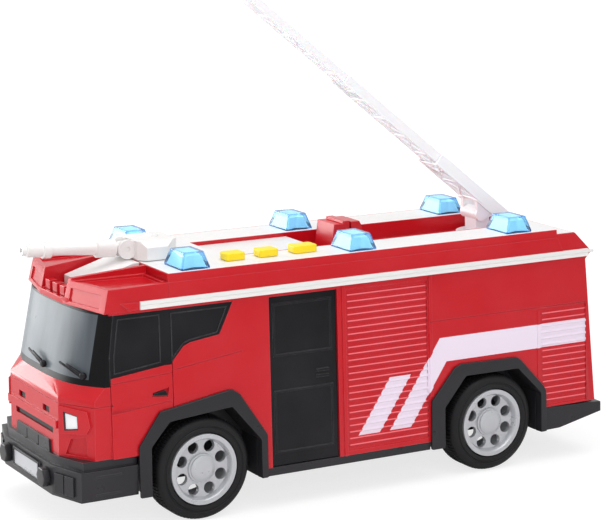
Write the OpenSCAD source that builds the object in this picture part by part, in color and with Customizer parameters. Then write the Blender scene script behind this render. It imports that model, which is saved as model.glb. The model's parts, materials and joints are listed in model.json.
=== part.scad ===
// Toy fire engine with a telescopic ladder and a water cannon.
// Millimetres. +X is forward, +Y is the left side, +Z is up.
// The origin is on the floor, midway between the two axles and on the centre plane.

/* [Wheels] */
// Distance between the axles
wheelbase = 150; // [135:1:180]
// Radius of a tyre over its tread
tyre_r = 22.9; // [20:0.1:24]
// Width of a tyre
tyre_w = 16; // [12:0.5:18]
// Radius of a rim's outer edge
rim_r = 15.7; // [13:0.1:17]
// Radius of the circle that a rim's holes sit on
rim_hole_circle = 10.1; // [9:0.1:11]
// Radius of one hole in a rim
rim_hole_r = 2.6; // [1.5:0.1:3]
// Number of holes in a rim
rim_holes = 8; // [5:1:10]
// Radius of an axle rod
axle_r = 2; // [1.5:0.1:2.5]
// How far a tyre's outer face stands inside the body's side at floor level
wheel_inset = 1.5; // [1:0.1:5]

/* [Body] */
// Width of the body at floor level
body_w = 89.3; // [82:0.1:107]
// Angle by which each side wall leans inwards
draft = 3; // [1:0.5:4]
// Thickness of the moulded shell
wall = 2; // [1.5:0.1:2.4]
// Height of the roof's rim
roof_z = 109.5; // [100:0.5:131]
// Height of the body's lower edge between the wheels
sill_z = 18.8; // [17:0.1:20]
// Height of the lower edge of the side windows at the front
belt_z = 66.5; // [64:0.5:69]
// From the front axle forward to the flat of the nose
front_reach = 60.3; // [58:0.1:64]
// From the rear axle back to the foot of the rear wall
rear_reach = 60.6; // [58:0.1:64]
// Width of the flat of the nose
nose_w = 52; // [46:1:56]
// How far the nose's corners are swept back
nose_sweep = 9.8; // [6:0.1:11]
// Depth of the grooves between shutter ribs
slat_groove = 0.45; // [0.3:0.05:1.2]
// Pitch of the shutter ribs
slat_pitch = 2.95; // [2.5:0.05:4]

/* [Roof] */
// Half width of the well that the ladder stows over
well_half_w = 17.4; // [16:0.1:18]
// Depth of the well under the roof's rim
well_depth = 7.5; // [6.5:0.1:9]
// Thickness of the white deck plates
deck_t = 1.5; // [1:0.1:2]
// Length of a beacon
beacon_l = 13.6; // [11:0.1:16]
// Width of a beacon
beacon_w = 17; // [14:0.1:18]
// Height of a beacon over the deck
beacon_h = 7.4; // [5:0.1:8]
// Size of the three sound buttons
button_size = [9.4, 7.4, 3.6]; // [3:0.1:14]

/* [Ladder] */
// Height of the ladder's pivot over the roof's rim
pivot_rise = 4.1; // [4.1:0.1:8]
// Angle at which the ladder stands at rest
ladder_angle = 38.5; // [0:0.5:60]
// Outer width of the lowest section
ladder_w = 16; // [14:0.1:17]
// Height of the lowest section's rails
rail_h = 5.6; // [5:0.1:6]
// Lengths of the three sections, lowest first
section_l = [48.5, 76, 72]; // [40:0.5:80]
// How far one section stays inside the next when drawn out
section_overlap = 12; // [8:1:16]
// Pitch of the rungs
rung_pitch = 14.6; // [8:0.1:16]

/* [Cannon] */
// Length of the barrel from its pivot to its tip
cannon_l = 48; // [30:1:50]
// Radius of the sleeve at the barrel's root
sleeve_r = 4; // [3:0.1:4.5]
// Angle of the barrel at rest
cannon_angle = 4; // [0:1:10]

/* [Hidden] */
$fn = 64;

// clearances
run_fit = 0.1;    // a shaft turning in its hole
slide_fit = 0.3;  // ladder rails that slide in each other
seat_fit = 0.1;   // a piece clipped into its opening
big = 400;        // longer than the whole toy
rim_lip = 0.7;    // red edge left round the deck plate

// places along the body, measured from the axles
front_x = wheelbase / 2;
rear_x = -wheelbase / 2;
nose_x = front_x + front_reach;
rear_wall_x = rear_x - rear_reach;
rim_front_x = front_x + 14.6;
rim_rear_x = rear_x - 37.7;
tail_x = rear_x - 47.9;
cab_x = front_x + 43;
door_front_x = front_x - 33.5;
door_rear_x = front_x - 67.9;
shutter_front_x = front_x - 72.4;
shutter_rear_x = rear_x + 35;

// heights
header_z = roof_z - 14;
strip_z = roof_z - 13.5;
crease_z = roof_z - 3.5;
deck_z = roof_z;
hood_z = belt_z - 7.3;
screen_z = belt_z - 2;
tail_z = roof_z - 2.1;
front_skirt_z = tyre_r + 10.6;
rear_skirt_z = tyre_r + 3.4;
well_floor_z = roof_z - well_depth;
centre_deck_z = roof_z - 1.7;

// half width of the body's outside at a height
function half_w(z) = body_w / 2 - z * tan(draft);

// outline in X and Z, pushed through from y0 to y1
module side_plate(points, y0, y1) {
  translate([0, y1, 0]) rotate([90, 0, 0]) linear_extrude(y1 - y0) polygon(points);
}

// outline in Y and Z, pushed through from x0 to x1
module cross_plate(points, x0, x1) {
  translate([x0, 0, 0]) rotate([90, 0, 90]) linear_extrude(x1 - x0) polygon(points);
}

module both_sides() {
  children();
  mirror([0, 1, 0]) children();
}

// children are drawn on a flat wall at y = 0 and laid on the left side
module on_wall() {
  translate([0, body_w / 2, 0]) rotate([draft, 0, 0]) children();
}

// frame on the rear wall, which leans forward: x inwards, z up along the wall
module on_rear() {
  translate([rear_wall_x, 0, 0]) rotate([0, atan2(tail_x - 6 - rear_wall_x, tail_z - 13), 0]) children();
}

// ---------------------------------------------------------------- shell
// body from the rear wall to the cab's corner posts, t inside the surface
module load_box(t) {
  intersection() {
    cross_plate([
      [-half_w(0) + t, 0], [half_w(0) - t, 0], [half_w(crease_z) - t, crease_z],
      [half_w(roof_z) - t - 0.3, roof_z - t], [-half_w(roof_z) + t + 0.3, roof_z - t],
      [-half_w(crease_z) + t, crease_z]], rear_wall_x - 5, nose_x);
    side_plate([
      [cab_x, 0], [cab_x, header_z - t], [rim_front_x - t, header_z - t],
      [rim_front_x - t, roof_z - t], [rim_rear_x + t, roof_z - t], [rim_rear_x + t, tail_z - t],
      [tail_x + t, tail_z - t], [tail_x - 8 + t, tail_z - 8 - t], [tail_x - 9 + t, tail_z - 10],
      [tail_x - 6 + t, tail_z - 13], [rear_wall_x + t, 0]], -body_w, body_w);
  }
}

// front edge of the windscreen's foot at y
function screen_x(y) = nose_x - 2.4 - foot_sweep * pow(abs(y) / half_w(screen_z), 3.4);

// plan of the windscreen: flat in the middle, curling back at the corners
function screen_plan(front, sweep, half, t) = [
  for (i = [-12:12]) let (y = i / 12)
    [front - t - sweep * pow(abs(y), 3.4), y * (half - t)]];

module plan_slab(points, z) {
  translate([0, 0, z]) linear_extrude(0.02) polygon(points);
}

function nose_plan(t) = [
  [cab_x - 1, -half_w(hood_z) + t], [nose_x - nose_sweep - t, -half_w(hood_z) + t],
  [nose_x - t, -nose_w / 2], [nose_x - t, nose_w / 2],
  [nose_x - nose_sweep - t, half_w(hood_z) - t], [cab_x - 1, half_w(hood_z) - t]];

// plans of the windscreen's lower and upper edges, run back to the side walls
screen_lean = 7.5;
foot_sweep = 12.3;
function screen_foot(t, x) = concat(
  [[x, -half_w(screen_z) + t]], screen_plan(nose_x - 2.4, foot_sweep, half_w(screen_z), t),
  [[x, half_w(screen_z) - t]]);
function screen_head(t, x) = concat(
  [[x, -half_w(header_z) + t]],
  screen_plan(nose_x - 2.4 - screen_lean, 7.2, half_w(header_z) - 0.8, t),
  [[x, half_w(header_z) - t]]);

// cab in front of the corner posts: flat fascia and sloping hood
module cab_front(t) {
  linear_extrude(hood_z - t / 2) polygon(nose_plan(t));
  hull() {
    plan_slab(nose_plan(t), hood_z - t / 2 - 0.02);
    plan_slab(screen_foot(t, cab_x - 1), screen_z - 0.02);
  }
}

screen_rear = [
  [cab_x + seat_fit, screen_z], [cab_x + seat_fit, belt_z + 10.5],
  [front_x + 40.6 + 2 * seat_fit, header_z - 1], [cab_x + seat_fit, header_z - 1],
  [cab_x + seat_fit, header_z], [big, header_z], [big, screen_z]];
door_window = [
  [cab_x, belt_z + 1.4], [front_x + 17.5, belt_z + 4.3], [front_x + 17.5, header_z - 0.8],
  [front_x + 40.6, header_z - 0.8], [cab_x, belt_z + 10.5]];
crew_window = [
  [front_x + 17.5, belt_z + 4.3], [front_x + 14, belt_z + 4.3], [front_x + 13.3, belt_z + 6],
  [front_x + 8.3, belt_z + 11.5], [front_x + 4.9, belt_z + 12.8], [front_x - 9.1, belt_z + 14.6],
  [front_x - 15.9, header_z - 0.8], [front_x + 17.5, header_z - 0.8]];

module window_holes() {
  on_wall() {
    side_plate(door_window, -wall - 3, 3);
    side_plate(crew_window, -wall - 3, 3);
  }
}

// outlines of the wheel arches about their axles: opening and outer edge of the trim
front_opening = [
  [-27.6, -30], [-27.6, 9.6], [-13.6, 26.1], [16.4, 23.6], [25.5, 13.6], [26.2, -30]];
front_edge = [
  [-30.7, -30], [-30.7, 11.8], [-17.6, 31.3], [-14.3, 33.5], [-11.9, 33.6], [14.3, 29.4], [20.9, 28.5],
  [31.3, 14.4], [31.3, -30]];
rear_opening = [
  [-26.7, -30], [-26.9, 11.1], [-14, 24.3], [15.1, 24.4], [26.8, 11.1], [27.2, -30]];
rear_edge = [
  [-30.2, -30], [-29.8, 11.7], [-28.1, 14.7], [-15.7, 28.1], [-13.5, 29.6], [17.2, 30.3], [21, 28.9],
  [33.8, 14.8], [34.7, -30]];
function arch(points, x, g) = [for (p = points) [x + p.x + sign(p.x) * g, tyre_r + p.y + g]];

// wide grooves that leave narrow ribs standing flush with the wall
module slat_grooves(x0, x1, z0, z1) {
  count = floor((z1 - z0) / slat_pitch);
  groove = slat_pitch * 0.5;
  side = slat_pitch * 0.12;
  on_wall() cross_plate([
    [1, z0 - 1], [0, z0 - 1],
    for (i = [0:count]) let (z = z0 + i * slat_pitch)
      each [[0, z], [-slat_groove, z + side], [-slat_groove, z + side + groove], [0, z + 2 * side + groove]],
    [0, z1 + 3], [1, z1 + 3]], x0, x1);
}

// thin groove along a wall from one point to another
module wall_groove(x0, z0, x1, z1) {
  on_wall() side_plate([[x0, z0], [x1, z1], [x1, z1 + 0.5], [x0, z0 + 0.5]], -0.4, 2);
}

// frame on the swept corner of the nose: x outwards, y along the face away from the middle
module on_corner() {
  translate([nose_x, nose_w / 2, 0])
    rotate([0, 0, atan2(nose_sweep, half_w(hood_z) - nose_w / 2)]) children();
}

module body_shell() {
  color("crimson") difference() {
    union() {
      difference() {
        union() {
          load_box(0);
          cab_front(0);
        }
        difference() {
          union() {
            load_box(wall);
            cab_front(wall);
          }
          // roof stays whole under the deck
          translate([-big / 2, -big / 2, roof_z - deck_t - wall]) cube([big, big, 20]);
        }
        // pocket for the deck plate
        translate([rim_rear_x + rim_lip, -deck_half, deck_z - deck_t])
          cube([rim_front_x - rim_rear_x - 2 * rim_lip, 2 * deck_half, 10]);
        translate([tail_x + rim_lip, -deck_half, tail_z - 0.8])
          cube([rim_rear_x + 1 - tail_x, 2 * deck_half, 10]);
      }
      // panel under the roof's rim, standing a little proud
      both_sides() on_wall() side_plate([
        [rim_front_x, strip_z], [rim_front_x, crease_z], [rim_rear_x, crease_z],
        [rim_rear_x - 3, strip_z + 3.5], [rim_rear_x - 3, strip_z]], -0.5, 0.5);
      // posts beside the doors and shutters
      both_sides() on_wall() {
        translate([shutter_front_x + 0.6, -0.5, sill_z]) cube([1.6, 1.1, header_z - sill_z]);
        translate([shutter_rear_x - 2.4, -0.5, tyre_r + 17]) cube([1.6, 1.1, header_z - tyre_r - 17]);
        translate([rear_x - 27, -0.5, tyre_r + 18]) cube([1.1, 0.9, rear_skirt_z + 28 - tyre_r]);
      }
      headlight_surround();
      translate([nose_x - 0.5, -26, hood_z - 13.8]) cube([1.9, 52, 3.4]);
      // well that the ladder lies over, its upper edge a thin lip through the deck
      translate([rim_rear_x + rim_lip, -well_half_w - 1.3, well_floor_z - 1.3])
        cube([well_front_x - rim_rear_x - rim_lip, 2 * well_half_w + 2.6, well_depth - deck_t + 1.3]);
      translate([rim_rear_x + rim_lip, -well_half_w - well_lip, well_floor_z])
        cube([well_front_x - rim_rear_x - rim_lip, 2 * (well_half_w + well_lip), well_depth]);
    }
    // inside of the well, deep behind and shallow in front
    translate([rim_rear_x + 1.3, -well_half_w, well_floor_z])
      cube([well_step_x - rim_rear_x - 1.3, 2 * well_half_w, 20]);
    translate([well_step_x - 1, -well_half_w, centre_deck_z - deck_t])
      cube([well_front_x - well_step_x + 1, 2 * well_half_w, 20]);
    // hollow under the shallow part
    translate([well_step_x + 1.3, -well_half_w + 0.2, 0])
      cube([well_front_x - well_step_x - 2.6, 2 * well_half_w - 0.4, centre_deck_z - deck_t - wall]);
    // bearings of the ladder's and the cannon's turntables
    translate([turn_x, 0, 0]) cylinder(h = big, r = turn_shaft_r + run_fit);
    translate([cannon_x, 0, 0]) cylinder(h = big, r = cannon_shaft_r + run_fit);
    // windows, doors and arches
    both_sides() window_holes();
    side_plate([
      [cab_x + 1, belt_z + 10.4], [cab_x, belt_z + 10.4], [front_x + 40.6, header_z - 0.9],
      [cab_x + 1, header_z - 0.9]], -big, big);
    both_sides() on_wall() translate([door_rear_x, -wall - 3, 0])
      cube([door_front_x - door_rear_x, big, header_z - 1]);
    side_plate(arch(front_opening, front_x, arch_lip), -big, big);
    side_plate(arch(rear_opening, rear_x, arch_lip), -big, big);
    // lower edge
    translate([-big / 2, -big / 2, -1]) cube([big, big, sill_z + 1]);
    translate([front_x + 20, -big / 2, -1]) cube([big, big, front_skirt_z + 1]);
    translate([rear_x - 30 - big, -big / 2, -1]) cube([big, big, rear_skirt_z + 1]);
    // roller shutters
    both_sides() slat_grooves(shutter_rear_x, shutter_front_x, sill_z + 2, header_z - 2);
    both_sides() slat_grooves(rear_x - 53.9, rear_x - 28, rear_skirt_z + 1, rear_skirt_z + 46);
    rear_slats();
    // gaps and creases of the front door and the side panels
    both_sides() {
      on_wall() translate([front_x + 13.6, -0.8, 0]) cube([0.6, 2, belt_z + 5]);
      on_wall() translate([cab_x - 0.3, -0.8, front_skirt_z]) cube([0.6, 2, belt_z]);
      wall_groove(front_x + 14, belt_z + 0.6, cab_x, belt_z - 1.2);
      wall_groove(front_x + 14, belt_z - 11.4, cab_x, belt_z - 14);
      wall_groove(front_x - 20, belt_z + 5.9, front_x + 13.6, belt_z + 1.6);
      wall_groove(rear_x - 54.5, belt_z + 7.5, shutter_rear_x - 1, belt_z + 7.5);
      // hollow behind the door handle
      on_wall() side_plate([
        [front_x + 15.6, belt_z - 5.2], [front_x + 16.4, belt_z - 9.4], [front_x + 24, belt_z - 8.4],
        [front_x + 23.4, belt_z - 6.8]], -0.9, 2);
    }
    nose_lines();
    // recess behind the grille bar
    grille_opening(0);
    // seats of the lamps
    both_sides() headlight_pocket(0);
    both_sides() tail_lamp_pocket(0);
  }
}

module rear_slats() {
  count = floor((tail_z - rear_skirt_z - 25) / slat_pitch);
  on_rear() for (i = [0:count - 1])
    translate([-3, -26, rear_skirt_z + 10 + i * slat_pitch]) cube([3 + slat_groove, 52, slat_pitch * 0.5]);
}

// gap round the hood and the sunk lower corners of the nose
module nose_lines() {
  difference() {
    translate([0, 0, hood_z - 3]) linear_extrude(0.5) polygon(nose_plan(-2));
    translate([0, 0, hood_z - 4]) linear_extrude(3) polygon(nose_plan(0.4));
  }
  both_sides() on_corner() cross_plate([
    [3.4, front_skirt_z + 1.2], [14.6, front_skirt_z + 1.2], [13.8, front_skirt_z + 9.8],
    [6.2, front_skirt_z + 8.2]], -1.2, 3);
}

module grille_opening(g) {
  cross_plate([
    [-20 + g, hood_z - 17.4 + g], [20 - g, hood_z - 17.4 + g],
    [20.4 - g, hood_z - 13.9 - g], [-20.4 + g, hood_z - 13.9 - g]], nose_x - 1.4, nose_x + 2);
  for (side = [-1, 1])
    translate([nose_x - 1.4, side * 13 - 3.5 + g, hood_z - 9.5 + g])
      cube([4, 7 - 2 * g, 2.8 - 2 * g]);
}

lens_outline = [[3.4, hood_z - 14.2], [10.6, hood_z - 13], [10.2, hood_z - 7], [3, hood_z - 5.8]];
module headlight_surround() {
  both_sides() on_corner() cross_plate([
    [0.6, hood_z - 15.6], [14.6, hood_z - 14.4], [16.6, hood_z - 11], [15, hood_z - 4.6],
    [0.6, hood_z - 3.6]], -0.6, 1);
}

module headlight_pocket(g) {
  on_corner() difference() {
    cross_plate(lens_outline, -2, g > 0 ? 0.2 : 4);
    if (g > 0) cross_plate(lens_outline, -3, -1.9);
  }
}

module tail_lamp_pocket(g) {
  on_rear() translate([-1, 32 + g, rear_skirt_z + 3 + g]) cube([2, 6 - 2 * g, 16 - 2 * g]);
}

// ---------------------------------------------------------------- cab roof
// one horn of the roof over the windscreen, its front face turned outwards and leaning back
horn_turn = 12.7;
horn_lean = 13;
module horn_foot(top) {
  translate([0, 0, header_z]) linear_extrude(top - header_z) polygon([
    [rim_front_x, big], [rim_front_x, 15.7], [front_x + 52, 12], [front_x + 52, big]]);
}

module horn() {
  intersection() {
    horn_foot(roof_z);
    cross_plate([[0, 0], [half_w(0) + 0.5, 0], [half_w(roof_z) + 0.5, roof_z], [0, roof_z]], -big, big);
    // low over the side, a ridge along the inner edge
    union() {
      side_plate([
        [rim_front_x, header_z], [big, header_z], [big, crease_z - 0.8], [front_x + 42, crease_z - 0.4],
        [rim_front_x, crease_z]], -big, big);
      intersection() {
        side_plate([
          [rim_front_x, header_z], [big, header_z], [big, crease_z - 0.5], [front_x + 49, crease_z + 0.6],
          [rim_front_x, roof_z]], -big, big);
        linear_extrude(big) polygon([
          [rim_front_x, 10], [rim_front_x, 17.9], [front_x + 52, 14.2], [front_x + 52, 10]]);
      }
    }
    horn_face() translate([-big, -big / 2, -5]) cube([big, big, 30]);
  }
}

module cab_roof() {
  color("crimson") {
    difference() {
      union() {
        both_sides() horn();
        // brow across the top of the windscreen
        intersection() {
          translate([rim_front_x, -20, header_z]) cube([44, 40, 2.6]);
          linear_extrude(big) polygon(concat([[rim_front_x, -22], [front_x + 48, -22]],
            [[front_x + 51.6, -11.4], [front_x + 51.6, 11.4]], [[front_x + 48, 22], [rim_front_x, 22]]));
        }
      }
      // dished tops of the horns
      both_sides() translate([0, 0, crease_z - 1.4]) linear_extrude(20) polygon([
        [rim_front_x + 1.5, half_w(roof_z) - 1.6], [rim_front_x + 1.5, 18.2], [front_x + 46, 15.6],
        [front_x + 40.6, half_w(roof_z) - 2.2]]);
      // sunk panels in the horns' front faces
      both_sides() horn_face() translate([-0.7, 4, 1.8]) cube([4, 21, 5.6]);
      // shelf between the horns
      side_plate([
        [rim_front_x - 1, header_z + 1.4], [front_x + 50, header_z + 1.4], [front_x + 50, big],
        [rim_front_x - 1, big]], -11.6, 11.6);
    }
    // lugs in front of the side strips
    both_sides() on_wall() side_plate([
      [front_x + 30, strip_z + 0.2], [front_x + 33.5, strip_z + 0.2], [front_x + 37.5, strip_z + 3.3],
      [front_x + 29, strip_z + 3.3]], 0, 1.6);
  }
}

// frame on a horn's front face: x outwards, y away from the middle
module horn_face() {
  translate([front_x + 51.3, 12, header_z]) rotate([0, 0, horn_turn]) rotate([0, -horn_lean, 0])
    children();
}

module roof_ramp() {
  color("white") side_plate([
    [rim_front_x, header_z + 1.4], [rim_front_x, deck_z], [rim_front_x + 3, deck_z],
    [front_x + 40, header_z + 7.3], [front_x + 40, header_z + 1.4]], -11.5, 11.5);
}

module marker_blocks() {
  color("crimson") for (y = [-7.6, 0, 7.6])
    translate([front_x + 46, y - 2.3, header_z + 1.4]) cube([3.6, 4.6, 5.4]);
}

// ---------------------------------------------------------------- glass
// dark frame and glass in one piece, from the hood to the roof and back to the side windows
module windscreen() {
  color([0.15, 0.17, 0.2]) difference() {
    intersection() {
      screen_body(0);
      side_plate(screen_rear, -big, big);
    }
    screen_body(1.6);
  }
}

module screen_body(t) {
  hull() {
    plan_slab(screen_foot(t, cab_x - 4), screen_z - t);
    plan_slab(screen_head(t, cab_x - 4), header_z - t - 0.02);
  }
}

module side_windows() {
  on_wall() {
    linear_window(door_window);
    linear_window(crew_window);
    // flange behind the shell that carries both panes
    side_plate([
      [front_x + 42, belt_z - 0.5], [front_x + 12, belt_z + 2], [front_x - 9, belt_z + 12],
      [front_x - 17, header_z - 0.8], [front_x + 39, header_z - 0.8]], -wall - 1.2, -wall);
  }
}

module linear_window(points) {
  side_plate(points, -wall, -0.3);
}

module side_windows_left() {
  color([0.1, 0.1, 0.11]) side_windows();
}

module side_windows_right() {
  color([0.1, 0.1, 0.11]) mirror([0, 1, 0]) side_windows();
}

// ---------------------------------------------------------------- crew door
module crew_door() {
  g = seat_fit;
  on_wall() {
    translate([door_rear_x + g, -wall - 0.6, sill_z + 3 * g])
      cube([door_front_x - door_rear_x - 2 * g, wall - 0.4, header_z - 1 - sill_z - 4 * g]);
    // frames of the two sunk panels, and the grip
    door_frame(door_rear_x + 2.5, door_front_x - 2.2, header_z - 27.8, header_z - 4.3);
    door_frame(door_rear_x + 2.4, door_front_x - 2.2, sill_z + 5.7, sill_z + 33.7);
    for (z = [sill_z + 37.4, sill_z + 40])
      translate([door_rear_x + 4.6, -1.2, z]) cube([6.2, 1.1, 1.2]);
  }
}

module door_frame(x0, x1, z0, z1) {
  edge = 0.9;
  difference() {
    translate([x0, -1.2, z0]) cube([x1 - x0, 0.8, z1 - z0]);
    translate([x0 + edge, -2, z0 + edge]) cube([x1 - x0 - 2 * edge, 3, z1 - z0 - 2 * edge]);
  }
}

module crew_door_left() {
  color("black") crew_door();
}

module crew_door_right() {
  color("black") mirror([0, 1, 0]) crew_door();
}

// ---------------------------------------------------------------- side trim
module awning() {
  on_wall() difference() {
    union() {
      translate([rear_x - 54.8, 0.5, strip_z]) cube([wheelbase + 83.3, 1, 3.5]);
      translate([rear_x - 54.8, 0, strip_z]) cube([14, 1, 3.5]);
      translate([rear_x - 58, 0.2, strip_z + 1.6]) cube([5, 1, 1.3]);
    }
    translate([rear_x - 60, 1.2, strip_z + 1.5]) cube([big, 1, 0.4]);
  }
}

module awning_left() {
  color("white") awning();
}

module awning_right() {
  color("white") mirror([0, 1, 0]) awning();
}

module door_handles() {
  color("black") both_sides() on_wall() side_plate([
    [front_x + 16.5, belt_z - 8.6], [front_x + 23.2, belt_z - 8], [front_x + 23, belt_z - 7.2],
    [front_x + 17.5, belt_z - 6.4]], -0.9, 0.4);
}

// ---------------------------------------------------------------- front and rear
module grille() {
  color([0.13, 0.13, 0.14]) intersection() {
    grille_opening(seat_fit);
    translate([nose_x - 3, -big / 2, 0]) cube([2.2, big, big]);
  }
}

module headlights() {
  color("white") both_sides() headlight_pocket(seat_fit);
}

module fog_lamps() {
  color([0.2, 0.2, 0.21]) both_sides() fog_lamp_blocks(seat_fit);
}

// two blocks side by side on the bumper's swept corner
module fog_lamp_blocks(g) {
  translate([bumper_x, 25.8, 0]) rotate([0, 0, 18])
    for (y = [2.4, 8.6])
      translate([-1.4 + g, y + g, 18.6 + g]) cube([2.2 - g, 5.8 - 2 * g, 8.6 - 2 * g]);
}

module tail_lamps() {
  color("red") both_sides() tail_lamp_pocket(seat_fit);
}

bumper_x = nose_x + 3.5;
function bumper_plan(t) = [
  [front_x + 26.5, -half_w(30) + t], [bumper_x - 12.8, -half_w(30) - 0.4 + t],
  [bumper_x - 5.8 - t, -half_w(30) - 0.3 + t], [bumper_x - t, -25.8 + t / 2], [bumper_x - t, 25.8 - t / 2],
  [bumper_x - 5.8 - t, half_w(30) + 0.3 - t], [bumper_x - 12.8, half_w(30) + 0.4 - t],
  [front_x + 26.5, half_w(30) - t]];

module front_bumper() {
  color([0.2, 0.2, 0.21]) difference() {
    union() {
      translate([0, 0, 16.7]) linear_extrude(13) polygon(bumper_plan(0));
      // upper ledge, set back
      translate([0, 0, 29.7]) linear_extrude(front_skirt_z - 29.7) polygon(bumper_plan(1.8));
      // step against the nose
      cross_plate([[-18.6, 29], [18.6, 29], [17.4, front_skirt_z + 5], [-17.4, front_skirt_z + 5]],
        nose_x, nose_x + 1);
      // strips along the sides
      both_sides() for (z = [18.8, 26.6])
        translate([nose_x - 21, half_w(30) - 0.5, z]) cube([12, 1, 0.9]);
    }
    translate([0, 0, 16.7 + 2]) linear_extrude(front_skirt_z - 16.7 - 2.5) polygon(bumper_plan(4.2));
    translate([nose_x - 20, -16, front_skirt_z - 4]) cube([18.5, 32, 8]);
    side_plate(arch(front_edge, front_x, seat_fit), -big, big);
    both_sides() fog_lamp_blocks(0);
    // gaps between the step's three plates
    for (y = [-6.2, 6.2]) translate([nose_x + 0.6, y - 0.3, front_skirt_z - 0.4]) cube([2, 0.6, 4.6]);
  }
}

module overriders() {
  color([0.15, 0.15, 0.16]) both_sides() translate([bumper_x, 20.8, 23.6])
    rotate([0, 90, 0]) rotate([0, 0, 30]) cylinder(h = 3.2, r = 4.6, $fn = 6);
}

module plate_front() {
  color("silver") translate([bumper_x, -13.5, 20]) cube([0.8, 27, 7.6]);
}

module plate_rear() {
  color("silver") on_rear() translate([-0.8, -13.5, rear_skirt_z + 1]) cube([0.8, 27, 6]);
}

module rear_bumper() {
  color([0.2, 0.2, 0.21]) difference() {
    intersection() {
      side_plate([
        [rear_x - 30, rear_skirt_z], [rear_x - 30, 15.2], [rear_x - 38.4, 15.4],
        [rear_wall_x - 2, 20.4], [rear_wall_x - 2, rear_skirt_z - 1.2]], -big, big);
      cross_plate([
        [-half_w(0), 0], [half_w(0), 0], [half_w(50), 50], [-half_w(50), 50]], -big, big);
    }
    translate([rear_wall_x + 2, -half_w(20) + wall, 21.5])
      cube([rear_x - 33 - rear_wall_x - 2, 2 * half_w(20) - 2 * wall, 30]);
    side_plate(arch(rear_edge, rear_x, seat_fit), -big, big);
  }
}

// ---------------------------------------------------------------- chassis
tunnel_in = body_w / 2 - wheel_inset - tyre_w - 1.6;
tunnel_out = half_w(50) - wall - 0.1;
arch_t = 1.5;
module chassis() {
  color([0.2, 0.2, 0.21]) difference() {
    union() {
      translate([rear_x - 29.9, -half_w(18) + wall, 15.2])
        cube([wheelbase + 29.9 + 26, 2 * (half_w(18) - wall), 2]);
      // sills along the bottom of the doors and lockers
      translate([rear_x + 34, -half_w(19), 15.2]) cube([wheelbase - 64.5, 2 * half_w(19), sill_z - 15.2]);
      intersection() {
        union() {
          side_plate(arch(front_opening, front_x, arch_t), -tunnel_out, tunnel_out);
          side_plate(arch(rear_opening, rear_x, arch_t), -tunnel_out, tunnel_out);
        }
        translate([-big / 2, -big / 2, 15.2]) cube([big, big, big]);
      }
    }
    // room for the wheels
    both_sides() {
      side_plate(arch(front_opening, front_x, 0), tunnel_in, big);
      side_plate(arch(rear_opening, rear_x, 0), tunnel_in, big);
      side_plate(arch(front_edge, front_x, seat_fit), tunnel_out, big);
      side_plate(arch(rear_edge, rear_x, seat_fit), tunnel_out, big);
    }
    // room inside between the wheels
    for (x = [front_x, rear_x])
      translate([x - 20, -tunnel_in + 1.5, 17.2]) cube([40, 2 * tunnel_in - 3, tyre_r + 3]);
    // axle bearings
    for (x = [front_x, rear_x])
      translate([x, big / 2, tyre_r]) rotate([90, 0, 0]) cylinder(h = big, r = axle_r + run_fit);
    translate([door_x0, -door_half, 15]) cube([door_l, 2 * door_half, 10]);
    // hollow of the sill strips
    translate([rear_x + 36, -half_w(18) + wall, 17.2]) cube([wheelbase - 72, 2 * (half_w(18) - wall), 5]);
  }
}

door_x0 = -32;
door_l = 58;
door_half = 22;
module battery_door() {
  g = seat_fit;
  color([0.2, 0.2, 0.21]) translate([door_x0 + g, -door_half + g, 15.2])
    cube([door_l - 2 * g, 2 * (door_half - g), 2]);
}

module battery_pack() {
  color("dimgray") translate([door_x0 + 3, -door_half + 1, 17.2]) cube([door_l - 6, 2 * door_half - 2, 15]);
}

module drive_block() {
  color("dimgray") difference() {
    translate([rear_x - 14, -tunnel_in + 3, 17.2]) cube([33, 2 * tunnel_in - 6, 22]);
    translate([rear_x, big / 2, tyre_r]) rotate([90, 0, 0]) cylinder(h = big, r = axle_r + run_fit);
  }
}

// trim on the wall, with a lip turned in through the opening
module arch_trim(x, opening, edge) {
  difference() {
    on_wall() difference() {
      union() {
        side_plate(arch(edge, x, 0), 0, 1.5);
        side_plate(arch(opening, x, arch_lip - seat_fit), -4, 0.5);
      }
      side_plate(arch(opening, x, 0), -5, 3);
      translate([x - 60, -5, -30]) cube([120, 10, 30 + 15.2]);
    }
    // ends where the wheel box begins
    translate([x - 60, 0, 0]) cube([120, tunnel_out + 0.05, big]);
  }
}

module arch_front_left() {
  color([0.22, 0.22, 0.23]) arch_trim(front_x, front_opening, front_edge);
}

module arch_front_right() {
  color([0.22, 0.22, 0.23]) mirror([0, 1, 0]) arch_trim(front_x, front_opening, front_edge);
}

module arch_rear_left() {
  color([0.22, 0.22, 0.23]) arch_trim(rear_x, rear_opening, rear_edge);
}

module arch_rear_right() {
  color([0.22, 0.22, 0.23]) mirror([0, 1, 0]) arch_trim(rear_x, rear_opening, rear_edge);
}

module wipers() {
  color("black") {
    wiper(6);
    wiper(34);
  }
}

// arm that lies along the foot of the windscreen, towards the middle from y
module wiper(y) {
  turn = atan2(screen_x(y - 12) - screen_x(y), 12);
  translate([screen_x(y) + 0.5, y, screen_z + 2]) rotate([0, 0, turn]) rotate([-24, 0, 0])
    translate([0, -12, 0]) cube([1, 12.5, 1.1]);
}

// ---------------------------------------------------------------- roof pieces
turn_x = rear_x - 23;
turn_shaft_r = 4;
cannon_x = front_x + 4;
cannon_shaft_r = 3;
well_step_x = front_x - 75;
well_front_x = front_x - 25;
well_lip = 0.6;
arch_lip = 1;
deck_half = half_w(roof_z) - rim_lip;
beacon_y = half_w(roof_z) - 2 - beacon_w / 2;
beacon_xs = [front_x + 0.2, front_x - 83.3, rear_x - 17.8];

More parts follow.
